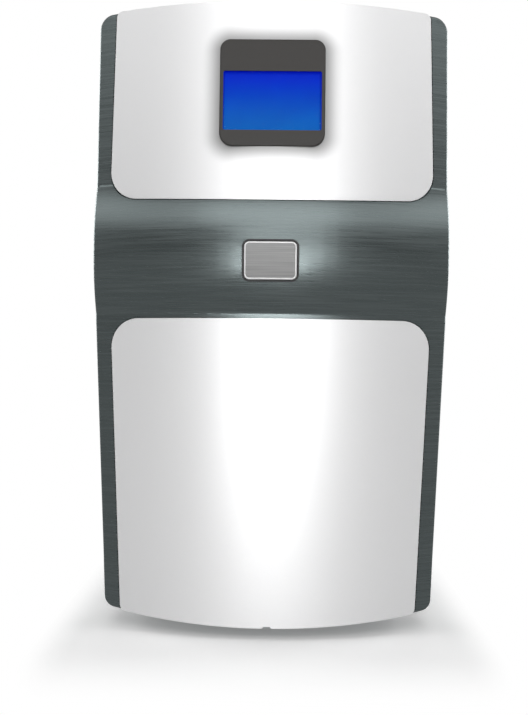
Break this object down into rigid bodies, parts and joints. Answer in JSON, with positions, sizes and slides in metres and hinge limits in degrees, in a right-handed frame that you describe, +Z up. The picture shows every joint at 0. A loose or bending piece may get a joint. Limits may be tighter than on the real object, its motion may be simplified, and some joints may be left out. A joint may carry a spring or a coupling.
{
  "type": "ultrapure water system",
  "caption": "Benchtop ultrapure water system with a bowed front, blue display, push button, hinged service door over quarter-turn cartridges, and rear tube and mains connections.",
  "frame": {"origin": "middle of the bottom of the whole system, on the bench under the feet", "axes": "+Z up, the bowed front faces -Y, +X to the right seen from the front"},
  "size_m": [0.3, 0.444, 0.526],
  "materials": {
    "grey_moulding": "satin, brushed metallic grey-green",
    "white_panel": "satin white",
    "liner_plastic": "moulded, light grey",
    "bezel_plastic": "fine moulded grain, warm black",
    "window": "clear window over the display",
    "lcd": "lit blue liquid-crystal display",
    "circuit_board": "solder-masked circuit board",
    "button_metal": "horizontally brushed, bright bevelled edge",
    "black_plastic": "moulded, black",
    "spring_steel": "drawn, bright",
    "zinc_sheet": "zinc-plated sheet",
    "cabinet_paint": "fine-textured light grey powder coat",
    "rubber": "moulded, black",
    "magnet": "nickel-plated",
    "die_casting": "tumbled die casting",
    "cartridge_shell": "moulded, white",
    "manifold_plastic": "moulded, mid grey",
    "stainless": "turned and polished stainless steel",
    "pump_paint": "black enamel",
    "valve_brass": "machined",
    "port_plastic": "moulded, off-white",
    "psu_case": "folded and perforated"
  },
  "bodies": {
    "cabinet": {"front_fascia": "grey_moulding", "upper_panel": "white_panel", "display_bezel": "bezel_plastic", "display_window": "window", "lcd_screen": "lcd", "display_board": "circuit_board", "hinge_brackets": "zinc_sheet", "hinge_pins": "spring_steel", "magnet_strikes": "zinc_sheet", "button_housing": "black_plastic", "button_spring": "spring_steel", "micro_switch": "black_plastic", "switch_bracket": "zinc_sheet", "bulkhead": "zinc_sheet", "base_tray": "zinc_sheet", "feet": "rubber", "enclosure_cover": "cabinet_paint", "cover_screws": "spring_steel", "rear_panel": "cabinet_paint", "shelf": "zinc_sheet", "bay_liner": "zinc_sheet", "manifold_head": "manifold_plastic", "conductivity_cells": "manifold_plastic", "uv_chamber": "stainless", "uv_end_caps": "black_plastic", "uv_clamps": "zinc_sheet", "ro_vessel": "cartridge_shell", "ro_end_caps": "port_plastic", "pump_head": "black_plastic", "pump_motor": "pump_paint", "pump_bracket": "zinc_sheet", "pump_mounts": "rubber", "valve_bodies": "valve_brass", "valve_coils": "black_plastic", "power_supply": "psu_case", "control_board": "circuit_board", "uv_ballast": "cabinet_paint", "feed_port": "port_plastic", "reject_port": "port_plastic", "tank_port": "port_plastic", "product_port": "port_plastic", "port_nuts": "port_plastic", "power_inlet": "black_plastic", "inlet_pins": "valve_brass", "power_switch_frame": "black_plastic"},
    "door": {"door_panel": "white_panel", "door_liner": "liner_plastic", "hinge_arms": "die_casting", "door_magnets": "magnet"},
    "push_button": {"button_cap": "button_metal", "button_stem": "black_plastic", "switch_plunger": "black_plastic"},
    "rocker": {"power_rocker": "black_plastic"},
    "canister_1": {"cartridge_1": "cartridge_shell"},
    "canister_2": {"cartridge_2": "cartridge_shell"},
    "canister_3": {"cartridge_3": "cartridge_shell"},
    "canister_4": {"cartridge_4": "cartridge_shell"}
  },
  "joints": [
    {"name": "door_hinge", "type": "hinge", "parent": "cabinet", "child": "door", "pos_m": [-0.1354, -0.154, 0.1425], "axis": [0, 0, -1], "range_deg": [0, 100]},
    {"name": "button_press", "type": "slide", "parent": "cabinet", "child": "push_button", "axis": [0, 1, 0], "range_m": [0, 0.003], "stiffness_N_per_m": 500, "springref_m": -0.004, "deforming": ["button_spring"]},
    {"name": "rocker_tilt", "type": "hinge", "parent": "cabinet", "child": "rocker", "pos_m": [0.03, 0.1985, 0.42], "axis": [1, 0, 0], "range_deg": [0, 20]},
    {"name": "canister_turn_1", "type": "hinge", "parent": "cabinet", "child": "canister_1", "pos_m": [-0.0915, -0.086, 0.2], "axis": [0, 0, 1], "range_deg": [0, 90]},
    {"name": "canister_turn_2", "type": "hinge", "parent": "cabinet", "child": "canister_2", "pos_m": [-0.0305, -0.086, 0.2], "axis": [0, 0, 1], "range_deg": [0, 90]},
    {"name": "canister_turn_3", "type": "hinge", "parent": "cabinet", "child": "canister_3", "pos_m": [0.0305, -0.086, 0.2], "axis": [0, 0, 1], "range_deg": [0, 90]},
    {"name": "canister_turn_4", "type": "hinge", "parent": "cabinet", "child": "canister_4", "pos_m": [0.0915, -0.086, 0.2], "axis": [0, 0, 1], "range_deg": [0, 90]}
  ]
}
